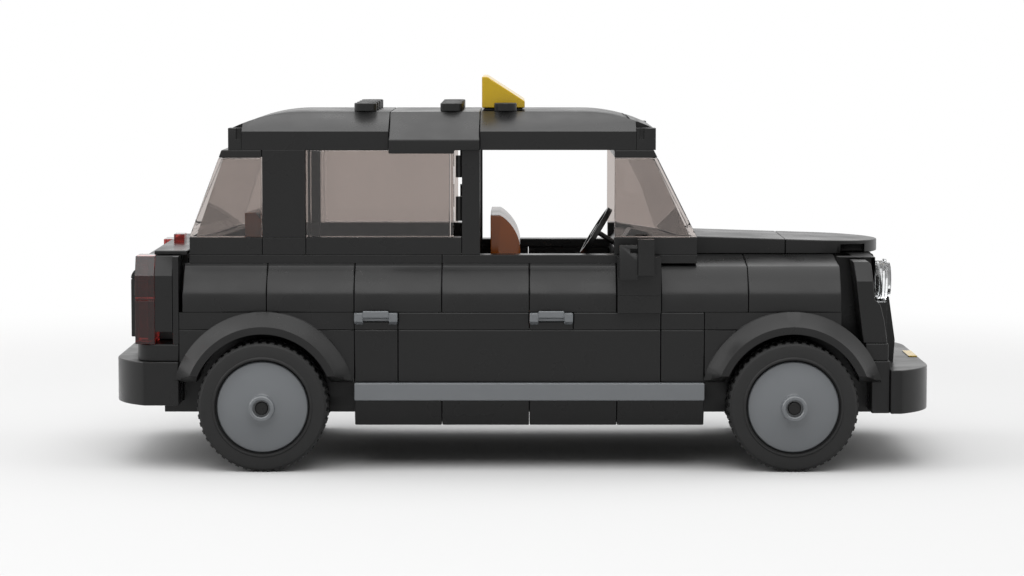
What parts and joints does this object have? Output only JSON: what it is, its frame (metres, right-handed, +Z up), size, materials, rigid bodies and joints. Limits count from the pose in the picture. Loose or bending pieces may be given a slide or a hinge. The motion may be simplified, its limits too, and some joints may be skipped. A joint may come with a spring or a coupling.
{
  "type": "brick-built toy taxi cab",
  "caption": "Brick-built toy taxi cab in black studded-brick parts, with open front windows, smoky screens, a blank roof sign and turning wheels.",
  "frame": {"origin": "on the ground, under the middle of the bounding box", "axes": "+X to the front of the car, +Y to its left side, +Z up"},
  "size_m": [0.3008, 0.139, 0.143],
  "materials": {
    "black": "glossy moulded ABS, black",
    "dark_grey": "glossy moulded ABS, dark bluish grey",
    "yellow": "glossy moulded ABS, yellow",
    "brown": "glossy moulded ABS, reddish brown",
    "tyre": "soft matte rubber",
    "smoky": "transparent smoky moulded plastic",
    "clear": "transparent clear moulded plastic",
    "red": "transparent red moulded plastic"
  },
  "bodies": {
    "body": {"chassis": "black", "cabin_floor": "black", "front_axle": "black", "rear_axle": "black", "sills": "black", "side_strips": "dark_grey", "door_panel_right": "black", "door_panel_left": "black", "bay_end_panels": "black", "handle_rows": "black", "door_handles": "dark_grey", "belt_right": "black", "belt_left": "black", "mirror_right": "black", "mirror_left": "black", "wheel_arch_front_right": "black", "wheel_arch_front_left": "black", "wheel_arch_rear_right": "black", "wheel_arch_rear_left": "black", "cabin_side_right": "black", "cabin_side_left": "black", "side_windows": "smoky", "windscreen": "smoky", "rear_window": "smoky", "roof_rear": "black", "roof_centre": "black", "roof_front": "black", "roof_tiles": "black", "taxi_sign": "yellow", "bonnet_rear": "black", "bonnet_front": "black", "radiator_wall": "black", "grille": "black", "wing_noses": "black", "headlights": "clear", "front_bumper": "black", "front_plate": "yellow", "rear_bumper": "black", "rear_corner_blocks": "black", "light_surrounds": "black", "tail_lights": "red", "tailgate": "black", "boot_lid": "black", "brake_light": "red", "screen_headers": "black", "scuttles": "black", "roof_corners": "black", "driver_seat": "brown", "rear_bench": "brown", "dashboard": "black", "steering_wheel": "black"},
    "wheel_front_right_body": {"tyre_front_right": "tyre", "wheel_front_right": "dark_grey"},
    "wheel_front_left_body": {"tyre_front_left": "tyre", "wheel_front_left": "dark_grey"},
    "wheel_rear_right_body": {"tyre_rear_right": "tyre", "wheel_rear_right": "dark_grey"},
    "wheel_rear_left_body": {"tyre_rear_left": "tyre", "wheel_rear_left": "dark_grey"}
  },
  "joints": [
    {"name": "front_right_wheel", "type": "hinge", "parent": "body", "child": "wheel_front_right_body", "pos_m": [0.0984, -0.055, 0.02375], "axis": [0, 1, 0], "continuous": true},
    {"name": "front_left_wheel", "type": "hinge", "parent": "body", "child": "wheel_front_left_body", "pos_m": [0.0984, 0.055, 0.02375], "axis": [0, 1, 0], "continuous": true},
    {"name": "rear_right_wheel", "type": "hinge", "parent": "body", "child": "wheel_rear_right_body", "pos_m": [-0.0947, -0.055, 0.02375], "axis": [0, 1, 0], "continuous": true},
    {"name": "rear_left_wheel", "type": "hinge", "parent": "body", "child": "wheel_rear_left_body", "pos_m": [-0.0947, 0.055, 0.02375], "axis": [0, 1, 0], "continuous": true}
  ]
}
